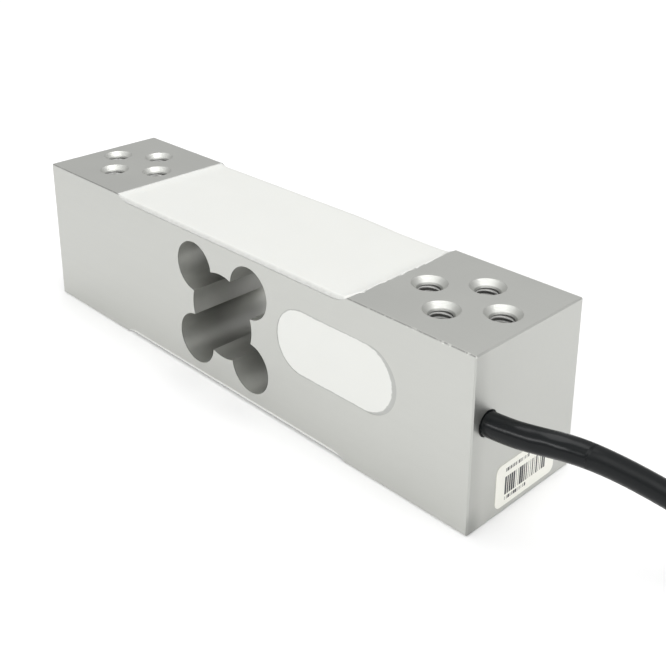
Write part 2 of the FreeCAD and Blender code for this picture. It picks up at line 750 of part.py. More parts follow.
def make_ties(hank):
    """A strap round each side of the hank."""
    centre = hank_frame()[0]
    straps = []
    for name, side in (("StrapFar", "+"), ("StrapNear", "-")):
        strap = new_body(name)
        section = new_sketch(strap, f"{name}Sketch", "YZ_Plane")
        width = f"2 * ( {HANK_HALF_WIDTH} + tie_thickness )"
        height = f"{HANK_HEIGHT} + 2 * tie_thickness"
        corner = "( hank_rounding + tie_thickness )"
        across = f"0 {side} hank_radius"
        draw_rounded_rectangle(section, width, height, corner, across, f"( {height} ) / 2")
        add_pad(strap, section, "tie_width", both_ways=True)
        strap.Placement.Base = centre
        straps.append(strap)
    pair = doc.addObject("Part::Compound", "Straps")
    pair.Links = straps
    doc.recompute()
    return cut_out(pair, [hank], "hank_ties")


def make_tail():
    """The stripped end: four cores and the screen wire, fanned out on the bench, and the
    tinned ends of the cores."""
    tail = hank_frame()[1]
    k = size("core_offset")
    straight = TAIL_STRAIGHT_RUN
    fan = size("tail_fan")
    tips = []
    places = ((-k, k, -1.5), (-k, -k, -0.5), (k, -k, 0.5), (k, k, 1.5))
    drain = ("tail_screen", 0, 0, 0, size("drain_diameter"))
    wires = [
        (f"tail_{colour}", across, up, slot, size("core_diameter"))
        for colour, (across, up, slot) in zip(CORE_COLOURS, places)
    ]
    for label, across, up, slot, diameter in (*wires, drain):
        rest_z = diameter / 2 + size("tail_gap")
        start = tail + Vector(0, across, up)
        lying = Vector(tail.x - TAIL_DROP_RUN, tail.y + slot * fan, rest_z)
        end_y = tail.y + slot * size("tail_fan_end")
        end = Vector(tail.x - size("tail_length"), end_y, rest_z)
        points = [start, start - Vector(straight, 0, 0), lying, end]
        add_shape(tube(points, diameter, widest_arc)[0], label)
        if label != "tail_screen":
            along = (end - lying).normalize()
            tips.append(Part.makeCylinder(size("tip_diameter") / 2, size("tip_length"), end, along))
    return add_shape(Part.makeCompound(tips), "tail_tips")


# ---------------------------------------------------------------- the board in the pocket


def make_board():
    body = new_body("Board")
    blank = new_sketch(body, "BlankSketch", "XZ_Plane")
    draw_rectangle(blank, "board_length", "board_height")
    add_pad(body, blank, "board_thickness")

    joints = new_sketch(body, "JointSketch", "XZ_Plane", "board_thickness")
    edge_x = "board_length / 2 - solder_margin - solder_reach / 2"
    for row in range(-2, 3):
        draw_rectangle(joints, "solder_reach", "solder_width", edge_x, f"{row} * core_pitch")
    edge_z = "( board_height / 2 - solder_margin - solder_reach / 2 )"
    for side in ("+", "-"):
        for up in ("+", "-"):
            across = f"{PASSAGE_X} - ( {BOARD_X} ) {side} lead_spacing / 2"
            draw_rectangle(joints, "solder_width", "solder_reach", across, f"0 {up} {edge_z}")
    add_pad(body, joints, "solder_height")

    bind(body, "Placement.Base.x", BOARD_X)
    bind(body, "Placement.Base.y", POCKET_FLOOR_Y)
    bind(body, "Placement.Base.z", "cable_rise")
    doc.recompute()
    return keep(body, "compensation_board")


def make_chip(label, column, up):
    """A trimming resistor with its two soldered end caps."""
    body = new_body("Chip")
    ceramic = new_sketch(body, "CeramicSketch", "XZ_Plane")
    draw_rectangle(ceramic, "chip_length", "chip_width")
    add_pad(body, ceramic, "chip_ceramic")
    caps = new_sketch(body, "CapSketch", "XZ_Plane")
    for side in ("+", "-"):
        across = f"0 {side} ( chip_length - chip_cap ) / 2"
        draw_rectangle(caps, "chip_cap", "chip_width", across, "0")
    add_pad(body, caps, "chip_height")
    first = "( board_length - chip_length ) / 2 - 2 * solder_margin"
    bind(body, "Placement.Base.x", f"{BOARD_X} - ( {first} ) + {column} * chip_pitch")
    bind(body, "Placement.Base.y", BOARD_FACE_Y)
    bind(body, "Placement.Base.z", f"cable_rise {up} chip_row")
    doc.recompute()
    return keep(body, label)


# ---------------------------------------------------------------- the label


def make_label():
    body = new_body("Label")
    outline = new_sketch(body, "LabelSketch", "YZ_Plane", "beam_length / 2")
    draw_rounded_rectangle(
        outline, "label_length", "label_height", "label_corner", "label_across", "label_rise"
    )
    add_pad(body, outline, "label_thickness")
    return keep(body, "label")


# ---------------------------------------------------------------- the whole


def make_all():
    fill_sheet()
    make_spring_body()
    lobe = worth(LOBE_X)
    top_gauges = [
        make_gauge("gauge_top_load_end", f"0 - {LOBE_X}", True),
        make_gauge("gauge_top_fixed_end", LOBE_X, True),
    ]
    base_gauges = [
        make_gauge("gauge_base_load_end", f"0 - {LOBE_X}", False),
        make_gauge("gauge_base_fixed_end", LOBE_X, False),
    ]
    top_leads = [
        make_gauge_lead("lead_top_load_end", -lobe, True, False),
        make_gauge_lead("lead_top_fixed_end", lobe, True, True),
    ]
    base_leads = [
        make_gauge_lead("lead_base_load_end", -lobe, False, False),
        make_gauge_lead("lead_base_fixed_end", lobe, False, True),
    ]
    board = make_board()
    chips = [
        make_chip("span_resistor_plus", 0, "+"),
        make_chip("span_resistor_minus", 0, "-"),
        make_chip("zero_resistor", 1, "+"),
        make_chip("input_resistor", 1, "-"),
    ]
    entry = make_cable_entry()
    make_cable_seal()
    cores = [
        make_core(f"core_{colour}", across, up, row, size("core_diameter"))
        for colour, (across, up, row) in zip(CORE_COLOURS, core_places())
    ]
    cores.append(make_core("core_screen", 0, 0, 0, size("drain_diameter")))

    top_passage = "beam_height - relief_depth - cable_rise - pocket_height / 2"
    top_coat = make_coat("TopCoat", "0 +", top_passage)
    bind(top_coat, "Placement.Base.z", "beam_height")
    base_coat = make_coat("BaseCoat", "0 -", "cable_rise - pocket_height / 2 - relief_depth")
    base_coat.Placement.Rotation = Rotation(Vector(1, 0, 0), 180)
    cut_out(top_coat, top_gauges + top_leads, "top_potting")
    cut_out(base_coat, base_gauges + base_leads, "bottom_potting")
    held = [board, *chips, *cores, entry, *top_leads, *base_leads]
    cut_out(make_pocket_fill(), held, "side_potting")

    make_cable()
    make_ties(make_hank())
    make_tail()
    make_label()
    doc.recompute()


def check_all():
    for thing in doc.Objects:
        bad = [word for word in thing.State if word in ("Invalid", "Error")]
        if bad:
            raise RuntimeError(f"{thing.Label} is {bad[0].lower()}")
    for thing in parts:
        shape = thing.Shape
        if shape.isNull() or not shape.isValid() or not shape.Solids:
            raise RuntimeError(f"{thing.Label} has no valid solid")


def write_all():
    os.makedirs("parts", exist_ok=True)
    for thing in parts:
        thing.Shape.exportStep(f"parts/{thing.Label}.step")
    print(len(parts), "parts written")


make_all()
check_all()
write_all()
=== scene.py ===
import math

import bmesh
import bpy
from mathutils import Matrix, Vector, noise


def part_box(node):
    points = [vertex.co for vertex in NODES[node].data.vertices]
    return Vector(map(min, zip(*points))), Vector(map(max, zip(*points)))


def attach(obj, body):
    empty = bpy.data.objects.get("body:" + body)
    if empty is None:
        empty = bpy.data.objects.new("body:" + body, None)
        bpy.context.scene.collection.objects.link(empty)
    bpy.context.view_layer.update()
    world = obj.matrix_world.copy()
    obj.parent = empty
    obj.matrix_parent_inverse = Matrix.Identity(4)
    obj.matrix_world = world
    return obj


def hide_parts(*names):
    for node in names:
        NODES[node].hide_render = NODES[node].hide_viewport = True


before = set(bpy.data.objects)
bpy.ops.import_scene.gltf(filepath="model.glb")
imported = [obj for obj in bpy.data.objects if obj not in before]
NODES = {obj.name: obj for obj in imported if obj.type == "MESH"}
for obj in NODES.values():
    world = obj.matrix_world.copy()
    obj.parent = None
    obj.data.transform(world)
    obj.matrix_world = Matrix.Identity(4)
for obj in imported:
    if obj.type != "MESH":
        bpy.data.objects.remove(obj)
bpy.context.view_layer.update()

bl_info = {
    "name": "Single point load cell",
    "version": (1, 0, 0),
    "blender": (4, 5, 0),
    "location": "View3D > Sidebar > Load Cell",
    "description": "Dresses a single point load cell: beam, silicone, threads, cable and label",
    "category": "Add Mesh",
}

MM = 0.001

# The beam, in metres, in the frame of the model.
BEAM_LOW, BEAM_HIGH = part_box("spring_body")
HALF_LENGTH = BEAM_HIGH[0]
HALF_WIDTH = BEAM_HIGH[1]
BEAM_TOP = BEAM_HIGH[2]
PAD_EDGE = 42 * MM
RELIEF_DEPTH = 1.6 * MM
RELIEF_RADIUS = 8 * MM
HOLE_CENTRE = 58.5 * MM
BASE_HOLE_CENTRE = 57.5 * MM
HOLE_REACH_ALONG = 9.5 * MM
HOLE_REACH_ACROSS = 7.5 * MM
POCKET_CENTRE = Vector((37.9 * MM, -HALF_WIDTH, 23.8 * MM))
POCKET_HALF_RUN = 10 * MM
POCKET_RADIUS = 8 * MM
# The silicone stops this much short of the pocket's end.
POCKET_SHORT = 1.0 * MM

# Where the metal's finish, its painted shade and its painted light change, from the middle, the
# faces and the holes.
WINDOW_REACH = 19 * MM
WINDOW_MARGIN = 3 * MM
WALL_INSET = 0.25 * MM
MOUTH_DEPTH = 13 * MM
SINK_EDGE = (3.96 * MM, 4.04 * MM)
# Ring of painted shade where the thread begins.
HOLE_SHADE_RING = (2.95 * MM, 2.7 * MM)
TURNING_PITCH = 0.22 * MM
# Width of the painted shade along the long top edges.
EDGE_SHADE_WIDTH = 0.24 * MM
WORN_SIDE = 0.35 * MM
WORN_TOP = 0.45 * MM
WORN_STRETCH = (45 * MM, 72 * MM)

# Half the height of a thread's crest, as a share of the pitch.
CREST_SHARE = 0.42

# The silicone coats: their grid, the rounding of the long edges, and the ragged flash.
COAT_COLUMNS = 150
COAT_ROWS = 44
COAT_INSET = 0.03 * MM
COAT_ROUNDING = 0.6 * MM
COAT_FALL = 0.9 * MM
COLUMN_EASE = 0.04
EDGE_ROW_SHARE = 0.35
FLASH_RETREAT = 0.3 * MM
FLASH_RIM = 0.25 * MM
FLASH_ZONE = 1.2 * MM
LEAST_COAT = 0.01 * MM
COAT_LIFT = 0.004 * MM

# The pocket's silicone: its grid, its depth, and how it laps over the pocket's rim.
FILL_POINTS = 160
FILL_RINGS = 26
FILL_DEPTH = 2.2 * MM
FILL_LAP = 0.12 * MM
FILL_PROUD = 0.05 * MM
FILL_RIM = 0.05 * MM

# Route of the cable from the end face to the put-away hank, in metres.
CABLE_ROUTE = (
    (0.0750, -0.0127, 0.0238),
    (0.0800, -0.0126, 0.0240),
    (0.0855, -0.0114, 0.0244),
    (0.0915, -0.0084, 0.0240),
    (0.0975, -0.0042, 0.0214),
    (0.1045, 0.0000, 0.0178),
    (0.1125, 0.0038, 0.0138),
    (0.1220, 0.0080, 0.0102),
    (0.1330, 0.0126, 0.0083),
    (0.1450, 0.0170, 0.0081),
    (0.1570, 0.0170, 0.0081),
)
CABLE_DIAMETER = 5 * MM
# A glossy, slightly thicker sleeve covers the cable from the end face to here, and its
# gloss ends over the fade.
SLEEVE_END = 94 * MM
SLEEVE_FADE = 0.6 * MM
SLEEVE_SWELL = 1.05
HANK_MIDDLE = Vector((0.18746, -0.0030, 0.0))
HANK_HALF_RUN = 15 * MM
# Place along the folds, radius and height in mm. Every fourth whole number starts the
# straight run on the far side, and the next ones the half turns and the near run.
HANK_STOPS = (
    (0.0, 20.0, 8.1),
    (2.0, 20.0, 8.1),
    (3.0, 15.0, 8.1),
    (5.0, 15.0, 8.1),
    (5.8, 14.0, 8.1),
    (6.5, 12.4, 5.6),
    (7.0, 15.0, 3.1),
    (8.0, 15.0, 3.1),
    (9.0, 20.0, 3.1),
    (11.0, 20.0, 3.1),
)
TAIL_START = (0.1570, -0.0230, 0.0031)
HANK_LOOPS = 3
# Where one loop of the folds has its points: on the two straight runs and through the
# half turns, which need them closer together.
HANK_PARTS = (0.15, 0.5, 0.85, 1.08, 1.25, 1.42, 1.58, 1.75, 1.92,
              2.15, 2.5, 2.85, 3.08, 3.25, 3.42, 3.58, 3.75, 3.92)
# The spline cuts inside the half turns' points, which stand out by this factor.
HALF_TURN_SWELL = 1.02

# Name, place, target, width, height and power of each light.
LIGHTS = (
    ("light_above", (0.1, 0.2, 1.6), (0, 0, 0), 1.3, 1.3, 13),
    ("light_front", (0.2, -1.5, 0.75), (0, 0, 0.02), 2.4, 0.3, 16),
    ("light_right", (1.4, -0.1, 0.8), (0, 0, 0.02), 1.0, 1.0, 5),
)
FLOOR_HALF_SIZE = 12
# The room's brightness at the horizon and above it, as shares of the setting, and the
# height at which it stops rising.
ROOM_LOW = 0.8
ROOM_HIGH = 1.7
ROOM_RISE = 0.7

# The bars lie this far off the label, and are this thick.
BAR_GAP = 0.005 * MM
BAR_THICKNESS = 0.02 * MM
# Width of a bar as a share of its gap: drawn from this range, and never under the least.
STROKE_RANGE = (-0.15, 0.9)
STROKE_LEAST = 0.18
# Rows of bars: place across and up from the label's middle, length and height. The two
# rows of short bars, above and below the main one, add their number of bars and seed.
MAIN_ROW = (0.2 * MM, -0.4 * MM, 14.0 * MM, 4.2 * MM)
MAIN_SEED = 3
SHORT_ROWS = (
    (-2.8 * MM, 3.3 * MM, 8.0 * MM, 0.8 * MM, 15, 5),
    (-3.2 * MM, -3.4 * MM, 7.4 * MM, 0.8 * MM, 12, 8),
)


# ---------------------------------------------------------------- settings


class BeamSettings(bpy.types.PropertyGroup):
    colour: bpy.props.FloatVectorProperty(
        name="Metal", description="Colour of the anodised faces", subtype="COLOR",
        default=(0.535, 0.54, 0.515), min=0, max=1)
    # Painted shade: the dark colour of the window's walls.
    window_shade_colour: bpy.props.FloatVectorProperty(
        name="Window", description="Colour of the bored window's walls", subtype="COLOR",
        default=(0.36, 0.36, 0.345), min=0, max=1)
    thread_pitch: bpy.props.FloatProperty(
        name="Thread pitch", description="Distance between two thread crests", unit="LENGTH",
        default=1 * MM)
    thread_depth: bpy.props.FloatProperty(
        name="Thread depth", description="Height of a thread crest", unit="LENGTH",
        default=0.11 * MM)
    thread_turns: bpy.props.IntProperty(
        name="Thread turns", description="Turns of thread in each hole", default=9, min=1)
    drill_radius: bpy.props.FloatProperty(
        name="Drill radius", description="Radius of the drilled holes", unit="LENGTH",
        default=2.5 * MM)
    sink_depth: bpy.props.FloatProperty(
        name="Countersink depth", description="Pad face to the first thread", unit="LENGTH",
        default=1.6 * MM)


class SiliconeSettings(bpy.types.PropertyGroup):
    colour: bpy.props.FloatVectorProperty(
        name="Silicone", description="Colour of the silicone", subtype="COLOR",
        default=(0.612, 0.617, 0.592), min=0, max=1)
    coat_level: bpy.props.FloatProperty(
        name="Coat level", description="Silicone over the relief floor", unit="LENGTH",
        default=1.1 * MM)
    coat_sweep: bpy.props.FloatProperty(
        name="Coat sweep", description="Radius of the rise to the pads", unit="LENGTH",
        default=14 * MM)
    flash: bpy.props.FloatProperty(
        name="Flash", description="How far the silicone laps over a pad", unit="LENGTH",
        default=0.6 * MM)


class CableSettings(bpy.types.PropertyGroup):
    jacket: bpy.props.FloatVectorProperty(
        name="Jacket", description="Colour of the cable's jacket", subtype="COLOR",
        default=(0.003, 0.004, 0.0045), min=0, max=1)
    length: bpy.props.FloatProperty(
        name="Length", description="Length of the free cable", unit="LENGTH",
        default=0.57)


class LabelSettings(bpy.types.PropertyGroup):
    paper: bpy.props.FloatVectorProperty(
        name="Label stock", description="Colour of the label", subtype="COLOR",
        default=(0.83, 0.825, 0.76), min=0, max=1)
    ink: bpy.props.FloatVectorProperty(
        name="Ink", description="Colour of the marks on the label", subtype="COLOR",
        default=(0.015, 0.015, 0.018), min=0, max=1)
    bars: bpy.props.IntProperty(
        name="Bars", description="Number of plain bars on the label", default=20, min=1)


class StudioSettings(bpy.types.PropertyGroup):
    camera_place: bpy.props.FloatVectorProperty(
        name="Camera", description="Place of the camera", subtype="TRANSLATION",
        default=(0.175591, -0.153650, 0.135484), precision=5)
    camera_turn: bpy.props.FloatVectorProperty(
        name="Camera turn", description="Rotation of the camera", subtype="EULER",
        default=(math.radians(70.117), math.radians(0.489), math.radians(47.030)))
    lens: bpy.props.FloatProperty(
        name="Lens", description="Focal length in millimetres", default=56.04)
    shift_across: bpy.props.FloatProperty(
        name="Shift across", description="Sideways shift of the lens", default=0.0473)
    shift_up: bpy.props.FloatProperty(
        name="Shift up", description="Upward shift of the lens", default=-0.2354)
    floor: bpy.props.FloatVectorProperty(
        name="Floor", description="Colour of the floor", subtype="COLOR",
        default=(0.86, 0.86, 0.86), min=0, max=1)
    surround: bpy.props.FloatProperty(
        name="Surround", description="Brightness of the room around", default=0.485)


# ---------------------------------------------------------------- material helpers


class NodeTree:
    """Short ways to add nodes to a tree."""

    def add(self, kind, inputs=None, **settings):
        node = self.tree.nodes.new(kind)
        for key, value in settings.items():
            setattr(node, key, value)
        for key, value in (inputs or {}).items():
            self.fill(node, key, value)
        return node

    def fill(self, node, key, value):
        """Links an output to a node's input, or sets the input to a plain value."""
        if isinstance(value, bpy.types.NodeSocket):
            self.tree.links.new(value, node.inputs[key])
        else:
            node.inputs[key].default_value = value

    def math(self, operation, first, second=0.0):
        node = self.add("ShaderNodeMath", {0: first, 1: second}, operation=operation)
        return node.outputs["Value"]


class Finish(NodeTree):
    """A material with one principled shader."""

    def __init__(self, name, colour, roughness, metallic=0.0):
        self.material = bpy.data.materials.new(name)
        self.material.use_nodes = True
        self.material.diffuse_color = (*colour, 1.0)
        self.tree = self.material.node_tree
        self.shader = self.tree.nodes["Principled BSDF"]
        self.set("Base Color", (*colour, 1.0))
        self.set("Roughness", roughness)
        self.set("Metallic", metallic)

    def set(self, socket, value):
        self.shader.inputs[socket].default_value = value

    def drive(self, socket, output):
        self.tree.links.new(output, self.shader.inputs[socket])

    def place(self, stretch=(1, 1, 1)):
        """Coordinates of the piece, stretched."""
        where = self.add("ShaderNodeTexCoord")
        inputs = {"Vector": where.outputs["Object"], "Scale": stretch}
        return self.add("ShaderNodeMapping", inputs).outputs["Vector"]

    def axes(self):
        """The piece's own x, y and z."""
        where = self.add("ShaderNodeSeparateXYZ", {"Vector": self.place()})
        return [where.outputs[axis] for axis in "XYZ"]

    def noise(self, scale, detail, stretch=(1, 1, 1)):
        inputs = {"Vector": self.place(stretch), "Scale": scale, "Detail": detail}
        return self.add("ShaderNodeTexNoise", inputs).outputs["Fac"]

    def spread(self, value, low, high, start=0.0, end=1.0):
        """Maps a value from start to end onto low to high."""
        inputs = {"Value": value, "From Min": start, "From Max": end, "To Min": low,
                  "To Max": high}
        return self.add("ShaderNodeMapRange", inputs).outputs["Result"]

    def step(self, value, start, end):
        """0 before start and 1 after end, with a smooth rise between."""
        inputs = {"Value": value, "From Min": start, "From Max": end}
        node = self.add("ShaderNodeMapRange", inputs, interpolation_type="SMOOTHSTEP")
        return node.outputs["Result"]

    def above(self, value, limit):
        """1 where the value is over the limit, else 0."""
        return self.math("GREATER_THAN", value, limit)

    def below(self, value, limit):
        """1 where the value is under the limit, else 0."""
        return self.math("LESS_THAN", value, limit)

    def product(self, first, *others):
        for other in others:
            first = self.math("MULTIPLY", first, other)
        return first

    def length(self, x, y):
        """Length of a flat vector."""
        flat = self.add("ShaderNodeCombineXYZ", {"X": x, "Y": y}).outputs["Vector"]
        node = self.add("ShaderNodeVectorMath", {0: flat}, operation="LENGTH")
        return node.outputs["Value"]

    def mix(self, amount, first, second):
        """Number between first and second."""
        inputs = {0: amount, 2: first, 3: second}
        return self.add("ShaderNodeMix", inputs).outputs[0]

    def blend(self, amount, first, second):
        """Colour between first and second."""
        node = self.add("ShaderNodeMix", data_type="RGBA")
        for index, value in ((0, amount), (6, first), (7, second)):
            self.fill(node, index, value)
        return node.outputs[2]

    def bump(self, height, distance, strength, after=None):
        """Normal of an uneven skin, over that of another skin where one is given."""
        inputs = {"Height": height, "Distance": distance, "Strength": strength}
        if after is not None:
            inputs["Normal"] = after
        return self.add("ShaderNodeBump", inputs).outputs["Normal"]


def rgba(colour, factor=1.0):
    return (*(min(1.0, part * factor) for part in colour), 1.0)


def metal_finish(settings):
    """Satin anodised aluminium, with turned countersinks, and painted shade and painted light on
    the window walls, top edges, end faces and holes.
    """
    look = Finish("anodised_aluminium", settings.colour, 0.42, 1.0)
    x, y, z = look.axes()
    along, across = look.math("ABSOLUTE", x), look.math("ABSOLUTE", y)

    def tone(factor):
        return rgba(settings.colour, factor)

    from_middle = look.math("ABSOLUTE", look.math("SUBTRACT", z, BEAM_TOP / 2))
    window = look.product(look.below(along, WINDOW_REACH),
                          look.below(across, HALF_WIDTH - WALL_INSET),
                          look.below(from_middle, BEAM_TOP / 2 - WINDOW_MARGIN))

    centre = look.spread(look.above(z, BEAM_TOP / 2), BASE_HOLE_CENTRE, HOLE_CENTRE)
    from_centre = look.math("ABSOLUTE", look.math("SUBTRACT", along, centre))
    from_hole = look.math("MINIMUM", *(
        look.length(look.math("SUBTRACT", from_centre, reach_along),
                    look.math("SUBTRACT", across, reach_across))
        for reach_along, reach_across in ((HOLE_REACH_ALONG, 0.0), (0.0, HOLE_REACH_ACROSS))))
    cone = look.math("SUBTRACT", 1.0, look.step(from_hole, *SINK_EDGE))
    rings = look.math("SINE", look.product(from_hole, 2 * math.pi / TURNING_PITCH))

    # Anodised faces, with faint clouds and brushed lines.
    clouds = look.noise(60, 4)
    lines = look.noise(900, 2, (0.03, 1, 1))
    grain = look.noise(5200, 2)
    face = look.blend(look.spread(clouds, 0.3, 0.7), tone(0.97), tone(1.03))
    face = look.blend(look.spread(lines, 0, 0.12), face, tone(0.8))

    # Walls of the window: painted shade darkens them inside, with darker patches at random, and
    # painted light makes them paler towards its mouths.
    mouth_light = look.step(across, HALF_WIDTH - MOUTH_DEPTH, HALF_WIDTH)
    wall_shade_and_light = look.blend(mouth_light, rgba(settings.window_shade_colour), tone(1.5))
    patches = look.spread(look.noise(220, 3), 0, 0.25)
    wall_shade_and_light = look.blend(patches, wall_shade_and_light, rgba(settings.window_shade_colour, 0.5))
    face = look.blend(window, face, wall_shade_and_light)

    # Long top edges: painted shade along the chamfers, lighter in a few nicks.
    edge = look.product(look.above(across, HALF_WIDTH - EDGE_SHADE_WIDTH),
                        look.above(z, BEAM_TOP - EDGE_SHADE_WIDTH))
    nicks = look.step(look.noise(1400, 2), 0.55, 0.7)
    edge_shade = look.product(edge, look.math("SUBTRACT", 0.75, look.product(nicks, 0.7)))
    face = look.blend(edge_shade, face, tone(0.5))

    # Painted shade on the front side of the end faces, darker towards the bottom.
    on_end = look.above(along, HALF_LENGTH - 0.3 * MM)
    shade = look.product(on_end, look.step(y, -12.5 * MM, -16.5 * MM))
    corner = look.product(look.step(z, 7 * MM, 1 * MM), look.spread(clouds, 0.4, 2.2))
    shade = look.product(shade, look.math("ADD", 0.14, look.product(corner, 0.25)))
    face = look.blend(shade, face, tone(0.25))

    # Countersinks brighter, as turned metal and as a painted highlight; painted shade darkens them
    # where the thread begins, widening the dark of the hole.
    face = look.blend(cone, face, tone(1.08))
    hole_mouth_shade = look.product(cone, look.step(from_hole, *HOLE_SHADE_RING))
    face = look.blend(look.product(hole_mouth_shade, 0.6), face, tone(0.25))

    # Bare metal on the worn stretch of the long top edges.
    worn = look.product(look.above(across, HALF_WIDTH - WORN_SIDE),
                        look.above(z, BEAM_TOP - WORN_TOP),
                        look.step(x, *WORN_STRETCH),
                        look.step(look.noise(900, 3), 0.52, 0.68))
    face = look.blend(look.product(worn, 0.7), face, tone(1.45))
    look.drive("Base Color", face)

    look.drive("Roughness", look.mix(cone, look.spread(clouds, 0.40, 0.48), 0.42))
    normal = look.bump(grain, 0.02 * MM, 0.35)
    normal = look.bump(lines, 0.02 * MM, 0.25, normal)
    look.drive("Normal", look.bump(look.product(rings, cone), 0.02 * MM, 0.5, normal))
    return look.material


def silicone_finish(settings):
    """White room-curing silicone, slightly uneven and a little glossy, with painted shade round
    the pocket's outline and along the upper coat's long edges.
    """
    look = Finish("white_silicone", settings.colour, 0.5)
    look.set("Subsurface Weight", 0.12)
    look.set("Subsurface Radius", (1.0, 0.9, 0.8))
    look.set("Subsurface Scale", 0.6 * MM)
    look.set("Coat Weight", 0.1)
    look.set("Coat Roughness", 0.3)
    clouds = look.noise(120, 3)
    tint = look.blend(look.spread(clouds, 0.2, 0.9), rgba(settings.colour, 0.985),
                      rgba(settings.colour, 1.015))
    x, y, z = look.axes()

    # Painted shade round the outline of the pocket's silicone on the front face.
    past_right = look.math("SUBTRACT", x, POCKET_CENTRE.x + POCKET_HALF_RUN - POCKET_SHORT)
    past_left = look.math("SUBTRACT", POCKET_CENTRE.x - POCKET_HALF_RUN, x)
    reach = look.math("MAXIMUM", look.math("MAXIMUM", past_right, past_left), 0.0)
    from_axis = look.length(reach, look.math("SUBTRACT", z, POCKET_CENTRE.z))
    ragged = look.product(look.noise(900, 3), 0.5 * MM)
    outside = look.step(look.math("ADD", from_axis, ragged), POCKET_RADIUS - 0.10 * MM,
                        POCKET_RADIUS + 0.10 * MM)
    thin_ink_and_edge_shade = look.product(outside, look.below(y, -HALF_WIDTH + 0.6 * MM),
                        look.above(x, POCKET_CENTRE.x - POCKET_HALF_RUN - POCKET_RADIUS),
                        look.below(z, BEAM_TOP - 3 * MM), look.above(z, 3 * MM))

    # Painted shade along the upper coat's long edges.
    rim = look.step(look.math("ABSOLUTE", y), HALF_WIDTH - 0.8 * MM, HALF_WIDTH - 0.2 * MM)
    rim = look.product(rim, look.above(z, BEAM_TOP - 3 * MM),
                       look.spread(ragged, 0.2, 0.6, 0, 0.5 * MM))
    # Both painted shades grey the silicone together.
    thin_ink_and_edge_shade = look.math("MAXIMUM", look.product(thin_ink_and_edge_shade, 0.8), rim)
    look.drive("Base Color", look.blend(thin_ink_and_edge_shade, tint, rgba(settings.colour, 0.5)))
    look.drive("Roughness", look.spread(clouds, 0.42, 0.58))
    normal = look.bump(look.noise(700, 2), 0.05 * MM, 0.25)
    look.drive("Normal", look.bump(clouds, 0.15 * MM, 0.4, normal))
    return look.material


def jacket_finish(settings):
    """Glossy black cable jacket, slightly wavy over the twisted cores."""
    look = Finish("cable_jacket", settings.jacket, 0.26)
    look.set("Specular IOR Level", 0.23)
    sleeve = look.step(look.axes()[0], SLEEVE_END + SLEEVE_FADE, SLEEVE_END)
    waves = look.noise(150, 1)
    fine = look.noise(1800, 2)
    look.drive("Roughness", look.mix(sleeve, look.spread(fine, 0.26, 0.36),
                                     look.spread(fine, 0.2, 0.27)))
    swell = look.product(waves, look.spread(sleeve, 0.35, 1.0))
    normal = look.bump(fine, 0.03 * MM, 0.3)
    look.drive("Normal", look.bump(swell, 0.8 * MM, 0.7, normal))
    return look.material


def plastic_finish(name, colour, roughness=0.4):
    """Moulded plastic or insulation with a fine uneven skin."""
    look = Finish(name, colour, roughness)
    skin = look.noise(1500, 2)
    look.drive("Roughness", look.spread(skin, roughness - 0.06, roughness + 0.08))
    look.drive("Normal", look.bump(skin, 0.03 * MM, 0.3))
    return look.material


def strand_finish():
    """Tinned copper strands, twisted together."""
    look = Finish("tinned_strands", (0.62, 0.61, 0.58), 0.3, 1.0)
    inputs = {"Vector": look.place((1, 0.6, 1)), "Scale": 900.0, "Distortion": 0.4}
    twist = look.add("ShaderNodeTexWave", inputs, bands_direction="DIAGONAL").outputs["Fac"]
    look.drive("Roughness", look.spread(twist, 0.25, 0.45))
    look.drive("Normal", look.bump(twist, 0.08 * MM, 0.8))
    return look.material


def board_finish():
    """Green lacquered board with paler tracks, and tin on its joints."""
    look = Finish("circuit_board", (0.02, 0.16, 0.06), 0.35)
    inputs = {"Vector": look.place((1, 0, 1)), "Scale": 240.0}
    tracks = look.add("ShaderNodeTexBrick", inputs).outputs["Fac"]
    look.drive("Base Color", look.blend(tracks, (0.02, 0.15, 0.055, 1), (0.04, 0.24, 0.09, 1)))
    look.drive("Normal", look.bump(tracks, 0.03 * MM, 0.5))
    return look.material


def chip_finish():
    """Black trimming resistor with bright end caps."""
    look = Finish("chip_resistor", (0.02, 0.02, 0.022), 0.4)
    speck = look.noise(2500, 2)
    look.drive("Base Color", look.blend(speck, (0.015, 0.015, 0.017, 1), (0.03, 0.03, 0.032, 1)))
    look.drive("Normal", look.bump(speck, 0.02 * MM, 0.4))
    return look.material


def gauge_finish():
    """Amber carrier film with the brown grid showing through."""
    look = Finish("gauge_film", (0.55, 0.30, 0.08), 0.35)
    inputs = {"Vector": look.place((1, 0.1, 1)), "Scale": 800.0}
    grid = look.add("ShaderNodeTexWave", inputs, bands_direction="Y").outputs["Fac"]
    look.drive("Base Color", look.blend(grid, (0.55, 0.30, 0.08, 1), (0.40, 0.22, 0.10, 1)))
    look.drive("Normal", look.bump(grid, 0.01 * MM, 0.5))
    return look.material


def paper_finish(settings):
    """Cream self-adhesive label stock."""
    look = Finish("label_stock", settings.paper, 0.45)
    fibre = look.noise(2200, 3, (1, 0.4, 1))
    look.drive("Base Color", look.blend(fibre, rgba(settings.paper, 0.97),
                                        rgba(settings.paper, 1.03)))
    look.drive("Normal", look.bump(fibre, 0.01 * MM, 0.5))
    return look.material


def ink_finish(settings):
    """Thermal print, slightly grey where it is thin."""
    look = Finish("label_ink", settings.ink, 0.5)
    thin_ink_and_edge_shade = look.noise(1800, 2)
    look.drive("Base Color", look.blend(thin_ink_and_edge_shade, rgba(settings.ink), rgba(settings.ink, 3)))
    return look.material


def paint(names, material):
    for name in names:
        for slot in NODES[name].material_slots:
            slot.material = material


